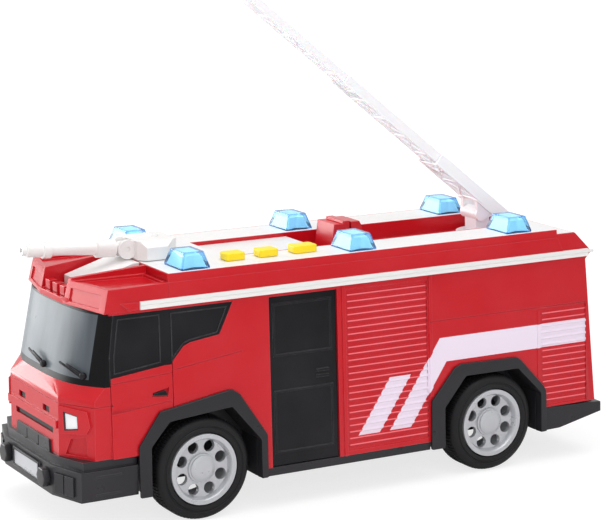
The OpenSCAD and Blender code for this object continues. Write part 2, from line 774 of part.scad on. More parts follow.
module roof_deck() {
  g = seat_fit;
  color("white") difference() {
    union() {
      translate([rim_rear_x + rim_lip + g, -deck_half + g, deck_z - deck_t])
        cube([rim_front_x - rim_rear_x - 2 * rim_lip - 2 * g, 2 * (deck_half - g), deck_t]);
      // lower tongue over the tail
      translate([tail_x + rim_lip + g, -deck_half + g, tail_z - 0.8])
        cube([rim_rear_x - tail_x + 0.8, 2 * (deck_half - g), 1]);
      translate([rim_rear_x + rim_lip + g, -deck_half + g, tail_z - 0.8])
        cube([0.8, 2 * (deck_half - g), deck_z - tail_z]);
    }
    translate([rim_rear_x + rim_lip - g, -well_half_w - well_lip - g, 0])
      cube([well_front_x - rim_rear_x - rim_lip + 2 * g, 2 * (well_half_w + well_lip + g), big]);
    translate([rim_rear_x + rim_lip - g, -well_half_w - 1.3 - g, 0])
      cube([2, 2 * (well_half_w + 1.3 + g), deck_z - deck_t]);
    translate([cannon_x, 0, 0]) cylinder(h = big, r = cannon_shaft_r + run_fit);
  }
}

module centre_deck() {
  g = seat_fit;
  color("white") translate([well_step_x + 0.3, -well_half_w + g, centre_deck_z - deck_t])
    cube([well_front_x - well_step_x - 0.3, 2 * (well_half_w - g), deck_t]);
}

// a lamp cover whose four sides lean in
module beacon(i, side) {
  top_in = 2.1;
  color([0.3, 0.6, 0.95, 0.8]) translate([beacon_xs[i], side * beacon_y, deck_z]) intersection() {
    side_plate([
      [-beacon_l / 2, 0], [beacon_l / 2, 0], [beacon_l / 2, 0.9], [beacon_l / 2 - top_in, beacon_h],
      [-beacon_l / 2 + top_in, beacon_h], [-beacon_l / 2, 0.9]], -beacon_w, beacon_w);
    cross_plate([
      [-beacon_w / 2, 0], [beacon_w / 2, 0], [beacon_w / 2, 0.9], [beacon_w / 2 - top_in, beacon_h],
      [-beacon_w / 2 + top_in, beacon_h], [-beacon_w / 2, 0.9]], -beacon_l, beacon_l);
  }
}

module beacon_front_left() beacon(0, 1);
module beacon_front_right() beacon(0, -1);
module beacon_middle_left() beacon(1, 1);
module beacon_middle_right() beacon(1, -1);
module beacon_rear_left() beacon(2, 1);
module beacon_rear_right() beacon(2, -1);

button_xs = [front_x - 23.7, front_x - 40.2, front_x - 58.7];
button_y = 25.2;
module button(i) {
  l = button_size.x * (i == 2 ? 1.25 : 1);
  color("gold") translate([button_xs[i] - l / 2, button_y - button_size.y / 2, deck_z])
    cube([l, button_size.y, button_size.z]);
}
module button_front() button(0);
module button_middle() button(1);
module button_rear() button(2);

module ladder_rest() {
  x = front_x - 84;
  half = ladder_w / 2 - 0.2;
  color("crimson") side_plate([
    [x, well_floor_z], [x - 1.8, roof_z + 6.9], [x - 6.3, roof_z + 6.9], [x - 6.3, roof_z + 8],
    [x - 10, roof_z + 8], [x - 10, roof_z + 1], [x - 10.7, roof_z + 1], [x - 10.7, roof_z + 7.4],
    [x - 15.2, roof_z + 7.4], [x - 16.7, roof_z + 4.8], [x - 16.7, well_floor_z]], -half, half);
}

// ---------------------------------------------------------------- wheels
// frame at a wheel's outer face, z inwards
module at_wheel(x, side) {
  translate([x, side * (body_w / 2 - wheel_inset), tyre_r]) rotate([side * 90, 0, 0]) children();
}

module tyre(x, side) {
  r = tyre_r;
  w = tyre_w;
  color([0.12, 0.12, 0.13]) at_wheel(x, side) rotate_extrude() polygon([
    [rim_r + 0.05, 1], [rim_r + 1, 0.2], [r - 3.2, 0], [r - 1.2, 0.9], [r, 3], [r, w - 3],
    [r - 1.2, w - 0.9], [r - 3.2, w], [rim_r + 1, w - 0.2], [rim_r + 0.05, w - 1]]);
}

module rim(x, side) {
  color("silver") at_wheel(x, side) difference() {
    rotate_extrude() polygon([
      [0, 0.2], [4.2, 0.6], [5.7, 1.4], [5.7, 2.2], [6.4, 2.2], [6.7, 3.2], [12.6, 2.8], [13.2, 1],
      [13.8, 0], [rim_r, 0], [rim_r, tyre_w], [13.4, tyre_w], [13.4, 5], [4.6, 5.6], [4.6, tyre_w],
      [0, tyre_w]]);
    for (i = [0:rim_holes - 1])
      rotate([0, 0, (i + 0.5) * 360 / rim_holes]) translate([rim_hole_circle, 0, -1])
        cylinder(h = 8, r = rim_hole_r, $fn = 32);
    translate([0, 0, 4]) cylinder(h = tyre_w, r = axle_r + 0.02);
  }
}

module axle_rod(x) {
  half = body_w / 2 - wheel_inset - 4;
  color("lightgray") translate([x, half, tyre_r]) rotate([90, 0, 0]) cylinder(h = 2 * half, r = axle_r);
}

module front_axle_rod() axle_rod(front_x);
module front_tyre_left() tyre(front_x, 1);
module front_tyre_right() tyre(front_x, -1);
module front_rim_left() rim(front_x, 1);
module front_rim_right() rim(front_x, -1);
module rear_axle_rod() axle_rod(rear_x);
module rear_tyre_left() tyre(rear_x, 1);
module rear_tyre_right() tyre(rear_x, -1);
module rear_rim_left() rim(rear_x, 1);
module rear_rim_right() rim(rear_x, -1);

// ---------------------------------------------------------------- ladder
pivot_x = turn_x + 5.45;
pivot_z = roof_z + pivot_rise;
pivot_r = 1.6;
rail_rise = 6.6;
tail_l = 11.2;
post_half = 4.5;
ear_t = 2;
rail_t = [1.2, 1, 1];
half_ws = [ladder_w / 2, ladder_w / 2 - rail_t[0] - slide_fit,
  ladder_w / 2 - rail_t[0] - rail_t[1] - 2 * slide_fit];
rail_hs = [rail_h, rail_h - 1, rail_h - 1.8];
starts = [-tail_l, section_l[0] - tail_l - section_overlap,
  section_l[0] + section_l[1] - tail_l - 2 * section_overlap];
rib = 0.5;

module turntable() {
  color("white") {
    translate([turn_x, 0, well_floor_z + 0.3]) cylinder(h = 2, r = 12.8);
    translate([turn_x, 0, well_floor_z - 3]) cylinder(h = 4, r = turn_shaft_r);
    translate([turn_x, 0, well_floor_z - 3]) cylinder(h = 1.4, r = turn_shaft_r + 1.6);
    // post that carries the ladder's hinge
    difference() {
      union() {
        side_plate([
          [turn_x - 7, well_floor_z + 1], [turn_x + 7, well_floor_z + 1], [pivot_x + 2, pivot_z],
          [pivot_x - 2.6, pivot_z + 1.8], [turn_x - 0.5, pivot_z - 1.5], [turn_x - 0.5, well_floor_z + 3],
          [turn_x - 6, well_floor_z + 2.6]],
          -post_half, post_half);
        translate([pivot_x, post_half, pivot_z]) rotate([90, 0, 0])
          cylinder(h = 2 * post_half, r = pivot_r + 1.6);
      }
      translate([pivot_x, big / 2, pivot_z]) rotate([90, 0, 0]) cylinder(h = big, r = pivot_r + run_fit);
    }
  }
}

// ladder coordinates: x along the rails from the pivot, z across them
module on_ladder() {
  translate([pivot_x, 0, pivot_z]) rotate([0, -ladder_angle, 0]) children();
}

module ladder_section(i) {
  x0 = starts[i];
  l = section_l[i];
  half = half_ws[i];
  top = rail_rise + rail_h / 2;
  low = top - rail_hs[i];
  rungs = floor((l - 4) / rung_pitch);
  both_sides() difference() {
    union() {
      translate([x0, half - rail_t[i], low]) cube([l, rail_t[i], rail_hs[i]]);
      if (i > 0) translate([x0, half - 0.1, top - 2.6]) cube([section_overlap - 2.6, rib + 0.1, 1]);
    }
    if (i < 2) translate([x0 - 1, half - rail_t[i] - 0.1, top - 2.8])
      cube([l - 1, rib + 0.3, 1.4]);
  }
  for (k = [0:rungs])
    translate([x0 + 2 + k * rung_pitch, -half + rail_t[i] - 0.1, low])
      cube([1.6, 2 * (half - rail_t[i]) + 0.2, 0.6]);
}

module ladder_lower() {
  inner = post_half + slide_fit;
  color("white") on_ladder() {
    ladder_section(0);
    // ears that hang from the rails, and the pin between them
    both_sides() {
      translate([0, inner + ear_t, 0]) rotate([90, 0, 0]) cylinder(h = ear_t, r = pivot_r + 1.6);
      side_plate([
        [-3.2, 0], [3.2, 0], [7.5, rail_rise - rail_h / 2 + 0.5], [-7, rail_rise - rail_h / 2 + 0.5]],
        inner, inner + ear_t);
      side_plate([
        [-7, rail_rise - rail_h / 2 - 0.8], [7.5, rail_rise - rail_h / 2 - 0.8],
        [7.5, rail_rise - rail_h / 2 + 0.5], [-7, rail_rise - rail_h / 2 + 0.5]], inner, half_ws[0]);
    }
    translate([0, inner + 1, 0]) rotate([90, 0, 0]) cylinder(h = 2 * inner + 2, r = pivot_r);
  }
}

module ladder_middle() {
  color("white") on_ladder() ladder_section(1);
}

module ladder_upper() {
  color("white") on_ladder() ladder_section(2);
}

// ---------------------------------------------------------------- water cannon
trunnion_x = cannon_x + 13;
trunnion_z = deck_z + 4.8;
ear_y = 3.2;
ear_r = 4.2;
module cannon_turret() {
  h = 8.2;
  color("white") {
    difference() {
      union() {
        intersection() {
          translate([cannon_x, 0, deck_z + 0.4]) linear_extrude(h) polygon([
            [-9, -8], [-3, -12], [7, -12], [10, -8.5], [10, 8.5], [7, 12], [-3, 12], [-9, 8]]);
          cross_plate([
            [-12, 0], [12, 0], [12, deck_z + 6], [9.5, deck_z + 0.4 + h], [-9.5, deck_z + 0.4 + h],
            [-12, deck_z + 6]], -big, big);
        }
        translate([cannon_x - 2, 0, deck_z + 0.4 + h - 0.1]) cylinder(h = 1, r = 2);
        // ears that hold the barrel
        both_sides() {
          translate([trunnion_x, ear_y + 2, trunnion_z]) rotate([90, 0, 0]) cylinder(h = 2, r = ear_r);
          translate([cannon_x + 9, ear_y, trunnion_z - 3.6]) cube([4, 2, 7.2]);
        }
      }
      translate([trunnion_x, big / 2, trunnion_z]) rotate([90, 0, 0]) cylinder(h = big, r = 1 + run_fit);
    }
    translate([cannon_x, 0, deck_z - deck_t - 3.6]) cylinder(h = deck_t + 4.5, r = cannon_shaft_r);
    translate([cannon_x, 0, deck_z - deck_t - 3.6]) cylinder(h = 1.2, r = cannon_shaft_r + 1.4);
  }
}

module cannon_barrel() {
  color("white") translate([trunnion_x, 0, trunnion_z]) rotate([0, -cannon_angle, 0]) {
    rotate([90, 0, 0]) translate([0, 0, -ear_y + 0.3]) cylinder(h = 2 * ear_y - 0.6, r = 2.8);
    rotate([90, 0, 0]) translate([0, 0, -ear_y - 1.8]) cylinder(h = 2 * ear_y + 3.6, r = 1);
    rotate([0, 90, 0]) rotate_extrude() polygon([
      [0, 0], [2.2, 0], [2.2, 4.3], [sleeve_r, 4.5], [sleeve_r, 13], [2.8, 13.6], [2.4, 34.5], [3.6, 34.7],
      [3.6, 38.2], [3, 38.4], [3, 45.6], [2.2, 46], [2.2, cannon_l], [1.2, cannon_l],
      [1.2, cannon_l - 6], [0, cannon_l - 6]]);
  }
}

body_shell();
cab_roof();
roof_deck();
centre_deck();
roof_ramp();
marker_blocks();
windscreen();
side_windows_left();
side_windows_right();
crew_door_left();
crew_door_right();
awning_left();
awning_right();
door_handles();
grille();
headlights();
fog_lamps();
tail_lamps();
front_bumper();
overriders();
plate_front();
plate_rear();
rear_bumper();
chassis();
arch_front_left();
arch_front_right();
arch_rear_left();
arch_rear_right();
wipers();
beacon_front_left();
beacon_front_right();
beacon_middle_left();
beacon_middle_right();
beacon_rear_left();
beacon_rear_right();
button_front();
button_middle();
button_rear();
ladder_rest();
battery_door();
battery_pack();
drive_block();
front_axle_rod();
front_tyre_left();
front_tyre_right();
front_rim_left();
front_rim_right();
rear_axle_rod();
rear_tyre_left();
rear_tyre_right();
rear_rim_left();
rear_rim_right();
turntable();
ladder_lower();
ladder_middle();
ladder_upper();
cannon_turret();
cannon_barrel();
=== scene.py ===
# %% [markdown]
# # Toy fire engine
# The toy is a hollow body of glossy red plastic with a ladder, a water cannon and four wheels.
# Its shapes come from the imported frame, one object for each moulded piece. This lesson gives every
# piece its finish, softens its edges as a mould does, and models the small pieces that the frame
# leaves plain: tread, lamps, wipers, ladder bracing and screws.

# %% load the frame and keep its box
import bpy
import json
import math
from mathutils import Matrix, Vector


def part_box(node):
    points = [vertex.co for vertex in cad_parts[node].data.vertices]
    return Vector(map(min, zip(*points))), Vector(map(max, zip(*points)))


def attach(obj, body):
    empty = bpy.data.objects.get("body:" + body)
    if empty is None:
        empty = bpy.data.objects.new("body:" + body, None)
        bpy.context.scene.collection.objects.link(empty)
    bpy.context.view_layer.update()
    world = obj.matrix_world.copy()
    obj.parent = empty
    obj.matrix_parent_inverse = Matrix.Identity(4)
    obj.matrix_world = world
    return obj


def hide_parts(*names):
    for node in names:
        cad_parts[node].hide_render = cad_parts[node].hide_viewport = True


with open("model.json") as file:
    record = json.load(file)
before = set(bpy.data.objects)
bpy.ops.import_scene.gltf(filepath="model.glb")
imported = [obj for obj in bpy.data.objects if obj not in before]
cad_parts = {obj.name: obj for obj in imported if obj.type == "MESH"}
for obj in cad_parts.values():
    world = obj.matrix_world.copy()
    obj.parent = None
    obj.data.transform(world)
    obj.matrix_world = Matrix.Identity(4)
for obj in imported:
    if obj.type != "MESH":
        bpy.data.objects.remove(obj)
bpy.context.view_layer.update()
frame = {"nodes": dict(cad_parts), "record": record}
nodes = frame["nodes"]
slots = {s["node"]: s["material_slot"] for s in frame["record"]["subparts"]}
print("pieces in the frame:", len(nodes))

# %% [markdown]
# ## Camera
# A long lens looks at the front left corner from a little above. Its place and turn were fitted to
# the toy's own corners, so the camera's matrix is set directly.

# %% camera
YAW, PITCH, ROLL = 0.498, 0.183, -0.003
back = Vector((math.sin(YAW) * math.cos(PITCH), math.cos(YAW) * math.cos(PITCH), math.sin(PITCH)))
right = Vector((-math.cos(YAW), math.sin(YAW), 0))
above = back.cross(right)
side = right * math.cos(ROLL) + above * math.sin(ROLL)
above = above * math.cos(ROLL) - right * math.sin(ROLL)
camera = bpy.data.objects.new("camera", bpy.data.cameras.new("camera"))
bpy.context.scene.collection.objects.link(camera)
camera.data.sensor_width = 36
camera.data.lens = 129.18
camera.data.shift_x, camera.data.shift_y = 0.0957, -0.0676
camera.data.clip_start = 0.01
camera.matrix_world = Matrix((side, above, back)).transposed().to_4x4()
camera.matrix_world.translation = (0.4868, 0.8362, 0.2976)
bpy.context.scene.camera = camera
bpy.context.scene.view_settings.view_transform = "Standard"
print("camera at", tuple(round(v, 3) for v in camera.matrix_world.translation))

# %% [markdown]
# ## Colours and nodes
# Plastic colours are usually given as sRGB hex values. Shaders work in linear light, so one function
# turns them. Another adds a node with its settings and links, which keeps each material short.

# %% colour and node helpers
def linear(code, alpha=1.0):
    parts = [int(code[i:i + 2], 16) / 255 for i in (0, 2, 4)]
    return [v / 12.92 if v <= 0.04045 else ((v + 0.055) / 1.055) ** 2.4 for v in parts] + [alpha]


def add(tree, kind, settings=None, **links):
    """Adds a node. settings are its attributes; links are input name or number to socket or value."""
    n = tree.nodes.new("ShaderNode" + kind)
    for key, value in (settings or {}).items():
        setattr(n, key, value)
    for key, value in links.items():
        numbered = key[0] == "i" and key[1:].isdigit()
        socket = n.inputs[int(key[1:]) if numbered else key.replace("_", " ")]
        if isinstance(value, bpy.types.NodeSocket):
            tree.links.new(value, socket)
        else:
            socket.default_value = value
    return n


def clear_selection():
    if bpy.context.mode != "OBJECT":
        bpy.ops.object.mode_set(mode="OBJECT")
    bpy.ops.object.select_all(action="DESELECT")


print("white in linear light:", linear("ffffff"))

# %% [markdown]
# ## Moulded plastic
# Most pieces are ABS, injection moulded in a polished steel mould. That gives a smooth skin with a faint
# orange peel some millimetres wide and a gloss that varies a little with the flow of the plastic. Edges
# are painted paler in patches within 0.3 mm, a painted highlight for the light they catch. One builder
# makes all of these finishes, and each finish gives its own colours, gloss and grain sizes in millimetres.

# %% builder for moulded finishes
def near_edge(tree, radius_mm):
    """1 on a flat face, falling towards 0 within the given distance of an edge."""
    true = add(tree, "NewGeometry").outputs["Normal"]
    soft = add(tree, "Bevel", {"samples": 4}, Radius=radius_mm / 1000)
    return add(tree, "VectorMath", {"operation": "DOT_PRODUCT"}, i0=true, i1=soft.outputs[0]).outputs["Value"]


# The second colour is paler. Near the edges it is a painted highlight, in patches; over the faces it is a
# faint random tint that follows the flow.
def moulded(name, colour, glint_and_flow, rough=0.3, spread=0.08, grain_mm=4.0, bump_mm=0.01, ior=1.53, edge_glint=0.35,
            **sockets):
    m = bpy.data.materials.new(name)
    m.use_nodes = True
    t = m.node_tree
    shader = t.nodes["Principled BSDF"]
    place = add(t, "TexCoord").outputs["Object"]
    flow = add(t, "TexNoise", Vector=place, Scale=1000 / 38, Detail=3.0)
    grain = add(t, "TexNoise", Vector=place, Scale=1000 / grain_mm, Detail=2.0)
    patch_noise = add(t, "TexNoise", Vector=place, Scale=1000 / 9, Detail=6.0, Roughness=0.7)
    # Painted highlight: the paler colour, in patches, within 0.3 mm of each edge.
    edge = add(t, "MapRange", Value=near_edge(t, 0.3), i1=0.995, i2=0.9, i3=0.0, i4=edge_glint)
    patchy = add(t, "MapRange", Value=patch_noise.outputs[0], i1=0.3, i2=0.7, i3=0.5, i4=1.0)
    glint_mask = add(t, "Math", {"operation": "MULTIPLY"}, i0=edge.outputs[0], i1=patchy.outputs[0])
    cloud = add(t, "MapRange", Value=flow.outputs[0], i1=0.3, i2=0.7, i3=0.0, i4=0.06)
    share = add(t, "Math", {"operation": "ADD", "use_clamp": True}, i0=glint_mask.outputs[0], i1=cloud.outputs[0])
    mix = add(t, "Mix", {"data_type": "RGBA"}, Factor=share.outputs[0])
    mix.inputs[6].default_value = linear(colour)
    mix.inputs[7].default_value = linear(glint_and_flow)
    t.links.new(mix.outputs[2], shader.inputs["Base Color"])
    gloss = add(t, "MapRange", Value=patch_noise.outputs[0], i1=0.3, i2=0.7, i3=rough - spread / 2,
                i4=rough + spread / 2)
    t.links.new(gloss.outputs[0], shader.inputs["Roughness"])
    bump = add(t, "Bump", Height=grain.outputs[0], Distance=bump_mm / 1000, Strength=0.6)
    t.links.new(bump.outputs[0], shader.inputs["Normal"])
    shader.inputs["IOR"].default_value = ior
    for key, value in sockets.items():
        shader.inputs[key.replace("_", " ")].default_value = value
    return m


finishes = {
    "red_abs": moulded("red_abs", "BF0C1A", "EE7780", 0.2, 0.1, 5.0, 0.012, edge_glint=0.6, Specular_IOR_Level=0.28),
    "white_abs": moulded("white_abs", "E6E4E3", "F4F2F0", 0.34, 0.1, 4.0, 0.012),
    "ladder_pp": moulded("ladder_pp", "F1F0F3", "FAF9FB", 0.38, 0.1, 3.0, 0.012, 1.5,
                         Subsurface_Weight=0.12, Subsurface_Scale=0.001),
    "black_gloss_abs": moulded("black_gloss_abs", "0F0E11", "75747A", 0.14, 0.08, 5.0, 0.008, edge_glint=0.8,
                               Specular_IOR_Level=0.14),
    "dark_satin_abs": moulded("dark_satin_abs", "242326", "6C6B70", 0.32, 0.12, 1.2, 0.02,
                              Specular_IOR_Level=0.25),
    "silver_paint": moulded("silver_paint", "B9BBBF", "CFD0D3", 0.3, 0.1, 0.8, 0.006, Metallic=0.35),
    "lamp_clear": moulded("lamp_clear", "F2F3F6", "FFFFFF", 0.12, 0.06, 3.0, 0.01, 1.49),
    "lamp_red": moulded("lamp_red", "A80F14", "C93A3C", 0.12, 0.06, 3.0, 0.01, 1.49),
    "button_yellow": moulded("button_yellow", "F7D800", "FBE866", 0.4, 0.1, 2.0, 0.012),
    "inner_dark": moulded("inner_dark", "1E1E20", "2E2E30", 0.5, 0.1, 2.0, 0.02),
    "drawn_steel": moulded("drawn_steel", "A7A8AC", "C9CACC", 0.28, 0.1, 0.5, 0.004, 1.45, Metallic=1.0),
    "tyre_pvc": moulded("tyre_pvc", "161618", "2A2A2D", 0.5, 0.12, 0.9, 0.03, 1.5, Specular_IOR_Level=0.25),
}
print("finishes:", ", ".join(finishes))

# %% [markdown]
# ## Printed stripes
# White stripes are pad printed on the red sides, over the shutter ribs as well: one runs back level
# and drops forward at a slant, the other is a short slanted bar in front of it. Each is a set of
# limits on X, Z and on X + 0.7 Z, which is constant along the slant.
# The crests of the shutter ribs are painted paler than the red around them, a painted highlight for the light
# they catch, and carry the print too.

# %% printed red plastic
def within(tree, value, low, high):
    """1 where the value is between the two limits, else 0."""
    over = add(tree, "Math", {"operation": "GREATER_THAN"}, i0=value, i1=low)
    under = add(tree, "Math", {"operation": "LESS_THAN"}, i0=value, i1=high)
    return add(tree, "Math", {"operation": "MULTIPLY"}, i0=over.outputs[0], i1=under.outputs[0]).outputs[0]


def combine(tree, a, b, operation="MULTIPLY"):
    """One maths node on two values."""
    return add(tree, "Math", {"operation": operation}, i0=a, i1=b).outputs[0]


def recolour(m, mask, colour):
    """Puts a second colour over a finish where the mask is 1."""
    t = m.node_tree
    shader = t.nodes["Principled BSDF"]
    under = shader.inputs["Base Color"].links[0].from_socket
    top = add(t, "Mix", {"data_type": "RGBA"}, Factor=mask)
    t.links.new(under, top.inputs[6])
    top.inputs[7].default_value = linear(colour)
    t.links.new(top.outputs[2], shader.inputs["Base Color"])


def print_stripes(m):
    t = m.node_tree
    axes = add(t, "SeparateXYZ", Vector=add(t, "TexCoord").outputs["Object"])
    x, z = axes.outputs[0], axes.outputs[2]
    slant = combine(t, x, combine(t, z, 0.7), "ADD")
    level = combine(t, within(t, z, 0.055, 0.0661), within(t, x, -0.1289, 0.0))
    drop = combine(t, within(t, z, 0.0271, 0.0661), within(t, slant, -0.0116, 1.0))
    long_bar = combine(t, combine(t, level, drop, "MAXIMUM"), within(t, slant, -1.0, -0.0004))
    short_bar = combine(t, within(t, z, 0.027, 0.0513), within(t, slant, 0.0049, 0.0161))
    recolour(m, combine(t, long_bar, short_bar, "MAXIMUM"), "EBDDEC")
    finishes[m.name] = m


print_stripes(moulded("printed_red_abs", "BF0C1A", "EE7780", 0.2, 0.1, 5.0, 0.012, edge_glint=0.4,
                      Specular_IOR_Level=0.28))
# This paler red is the painted highlight on the shutter rib crests.
print_stripes(moulded("painted_highlight_red_abs", "EC6E78", "F58C96", 0.24, 0.1, 5.0, 0.012, edge_glint=0.4,
                      Specular_IOR_Level=0.28))
print("stripes printed in printed_red_abs and painted_highlight_red_abs")

# %% [markdown]
# ## Windscreen
# The screen and the corner posts are one smoky piece. The pane's pale grey base colour is a painted
# reflection of the bright room; it fades towards the left into a deeper smoke with faint upright
# streaks, and a black frame is painted round it.

# %% smoke tinted screen with a painted reflection
screen = moulded("smoke_pc_painted_reflection", "767E84", "8C9498", 0.3, 0.06, 8.0, 0.006, 1.58,
                 Specular_IOR_Level=0.1)
t = screen.node_tree
place = add(t, "TexCoord").outputs["Object"]
axes = add(t, "SeparateXYZ", Vector=place)
across = add(t, "Math", {"operation": "ABSOLUTE"}, i0=axes.outputs[1]).outputs[0]
reflection_streaks = add(t, "TexNoise", Vector=add(t, "Mapping", Vector=place, Scale=(140, 140, 4)).outputs[0],
              Scale=1.0, Detail=2.0)
# Painted reflection: the pane's pale grey fades towards the left into the darker smoke, with faint upright
# streaks.
reflection_fade = add(t, "MapRange", Value=axes.outputs[1], i1=0.004, i2=0.032, i3=0.0, i4=0.62)
reflection_dimming = combine(t, reflection_fade.outputs[0], combine(t, reflection_streaks.outputs[0], 0.55, "MULTIPLY"), "ADD")
recolour(screen, combine(t, reflection_dimming, 0.18, "SUBTRACT"), "3A3F45")
pane = combine(t, within(t, across, -1.0, 0.0352), within(t, axes.outputs[2], 0.0672, 0.0945))
recolour(screen, combine(t, 1.0, pane, "SUBTRACT"), "101012")
finishes["smoke_pc_painted_reflection"] = screen
print("screen pane is 70.4 mm wide")

# %% [markdown]
# ## Finishes on the frame's pieces
# Every piece of the frame takes the finish of its material slot; a few are named one by one. The
# frame's meshes are left as they are. Modifiers merge their loose triangles, round the edges by the
# quarter millimetre that a mould leaves, and weight the normals so that flat faces stay flat.

# %% give each piece its finish and soft edges
by_slot = {
    "red_plastic": "red_abs", "white_plastic": "white_abs", "ladder_plastic": "ladder_pp",
    "smoke_screen": "smoke_pc_painted_reflection", "black_gloss": "black_gloss_abs", "dark_plastic": "dark_satin_abs",
    "silver_plastic": "silver_paint", "lamp_white": "lamp_clear", "lamp_red": "lamp_red",
    "beacon_blue": "lamp_clear", "button_yellow": "button_yellow", "inner_block": "inner_dark",
    "axle_steel": "drawn_steel", "tyre_rubber": "tyre_pvc"}
by_name = {"body_shell": "printed_red_abs", "grille": "black_gloss_abs", "fog_lamps": "dark_satin_abs"}
edge_mm = {"body_shell": 0.22, "cab_roof": 0.3, "arch_front_left": 0.6, "arch_front_right": 0.6,
           "arch_rear_left": 0.6, "arch_rear_right": 0.6, "front_bumper": 0.35, "rear_bumper": 0.4,
           "button_front": 1.1, "button_middle": 1.1, "button_rear": 1.1, "overriders": 0.7,
           "ladder_rest": 0.5, "cannon_turret": 0.5, "cannon_barrel": 0.3}


def soften(o, width_mm, angle=32):
    for poly in o.data.polygons:
        poly.use_smooth = True
    weld = o.modifiers.new("merge", "WELD")
    weld.merge_threshold = 2e-6
    bevel = o.modifiers.new("mould edge", "BEVEL")
    bevel.width = width_mm / 1000
    bevel.segments = 2
    bevel.limit_method = "ANGLE"
    bevel.angle_limit = math.radians(angle)
    bevel.use_clamp_overlap = True
    o.modifiers.new("flat faces", "WEIGHTED_NORMAL").keep_sharp = True


for name, o in nodes.items():
    finish = finishes[by_name.get(name, by_slot[slots[name]])]
    o.data.materials.clear()
    o.data.materials.append(finish)
    soften(o, edge_mm.get(name, 0.25))
print("softened", len(nodes), "pieces")

# %% [markdown]
# ## Helpers for new pieces
# New pieces start as a primitive and are shaped in edit mode. A finished piece has its place in its
# mesh, its normals outwards, a finish and a body to ride on.
# Round pieces are turned as on a lathe: one ring is extruded, moved along the axis and resized.

# %% start, pick and finish
def block(name, low, high):
    """A box between two corners in metres, in edit mode with nothing selected."""
    clear_selection()
    size = [b - a for a, b in zip(low, high)]
    bpy.ops.mesh.primitive_cube_add(size=1, location=[(a + b) / 2 for a, b in zip(low, high)], scale=size)
    bpy.ops.object.transform_apply(location=True, rotation=True, scale=True)
    o = bpy.context.object
    o.name = name
    bpy.ops.object.mode_set(mode="EDIT")
    bpy.ops.mesh.select_mode(type="FACE")
    bpy.ops.mesh.select_all(action="DESELECT")
    return o


def pick(o, test):
    """Selects the faces for which test(centre, normal) is true and returns how many."""
    bpy.ops.mesh.select_all(action="DESELECT")
    bpy.ops.object.mode_set(mode="OBJECT")
    count = 0
    for face in o.data.polygons:
        if test(face.center, face.normal):
            face.select = True
            count += 1
    bpy.ops.object.mode_set(mode="EDIT")
    return count


def lathe(name, centre, profile, axis="Y", turn=1, steps=64, closed=True):
    """Rings of (radius, distance along the axis) in millimetres, joined in a closed loop or capped."""
    clear_selection()
    spin = {"Y": (math.pi / 2, 0, 0), "Z": (0, 0, 0)}[axis]
    way = Vector((0, turn, 0)) if axis == "Y" else Vector((0, 0, turn))
    first = Vector(centre) + way * profile[0][1] / 1000
    bpy.ops.mesh.primitive_circle_add(vertices=steps, radius=profile[0][0] / 1000, location=first,
                                      rotation=spin)
    bpy.ops.object.transform_apply(location=True, rotation=True, scale=True)
    o = bpy.context.object
    o.name = name
    bpy.ops.object.mode_set(mode="EDIT")
    bpy.ops.mesh.select_mode(type="VERT")
    if not closed:
        bpy.ops.mesh.select_all(action="SELECT")
        bpy.ops.mesh.edge_face_add()
    rings = profile[1:] + (profile[:1] if closed else [])
    last = profile[0]
    for r, d in rings:
        bpy.ops.mesh.extrude_region_move(TRANSFORM_OT_translate={"value": way * (d - last[1]) / 1000})
        f = r / last[0]
        keep = (f, 1, f) if axis == "Y" else (f, f, 1)
        bpy.ops.transform.resize(value=keep, center_override=Vector(centre) + way * d / 1000)
        last = (r, d)
    bpy.ops.mesh.select_all(action="SELECT")
    bpy.ops.mesh.remove_doubles(threshold=1e-6)
    bpy.ops.mesh.normals_make_consistent(inside=False)
    bpy.ops.mesh.select_mode(type="FACE")
    bpy.ops.mesh.select_all(action="DESELECT")
    return o


def finish_piece(o, finish, body, edge_mm=0.0, replaces=(), angle=35):
    """Leaves edit mode, rounds the edges, smooths by angle and hands the piece to its body."""
    if bpy.context.mode != "OBJECT":
        bpy.ops.mesh.select_all(action="SELECT")
        bpy.ops.mesh.normals_make_consistent(inside=False)
        bpy.ops.object.mode_set(mode="OBJECT")
    clear_selection()
    o.select_set(True)
    bpy.context.view_layer.objects.active = o
    if edge_mm:
        bevel = o.modifiers.new("edge", "BEVEL")
        bevel.width = edge_mm / 1000
        bevel.segments = 2
        bevel.limit_method = "ANGLE"
        bevel.angle_limit = math.radians(angle)
        bpy.ops.object.modifier_apply(modifier=bevel.name)
    bpy.ops.object.shade_smooth_by_angle(angle=math.radians(angle))
    o.data.materials.clear()
    o.data.materials.append(finishes[finish])
    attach(o, body)
    if replaces:
        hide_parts(*replaces)
    return o


def copy_of(o, name, shift=(0, 0, 0), flip_y=False):
    """A copy with its own mesh, shifted, and mirrored to the other side if asked."""
    twin = o.copy()
    twin.data = o.data.copy()
    twin.name = name
    bpy.context.scene.collection.objects.link(twin)
    move = Matrix.Translation(shift)
    if flip_y:
        move = move @ Matrix.Diagonal((1, -1, 1, 1))
    twin.data.transform(move)
    if flip_y:
        twin.data.flip_normals()
    return twin


def join(parts, name):
    """Joins the pieces into the first of them, which takes the name."""
    clear_selection()
    for o in parts:
        o.select_set(True)
    bpy.context.view_layer.objects.active = parts[0]
    bpy.ops.object.join()
    parts[0].name = name
    return parts[0]


def mirror_right(o):
    """The right hand twin of a finished piece on the body's left side."""
    twin = copy_of(o, o.name.replace("left", "right"), flip_y=True)
    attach(twin, "body")


print("helpers ready")

# %% [markdown]
# ## Tyres
# Each tyre is one soft black moulding with short lugs round its shoulders. A ring of 160 steps is
# turned to the tyre's section, then every second step of the shoulders is sunk to leave the lugs.

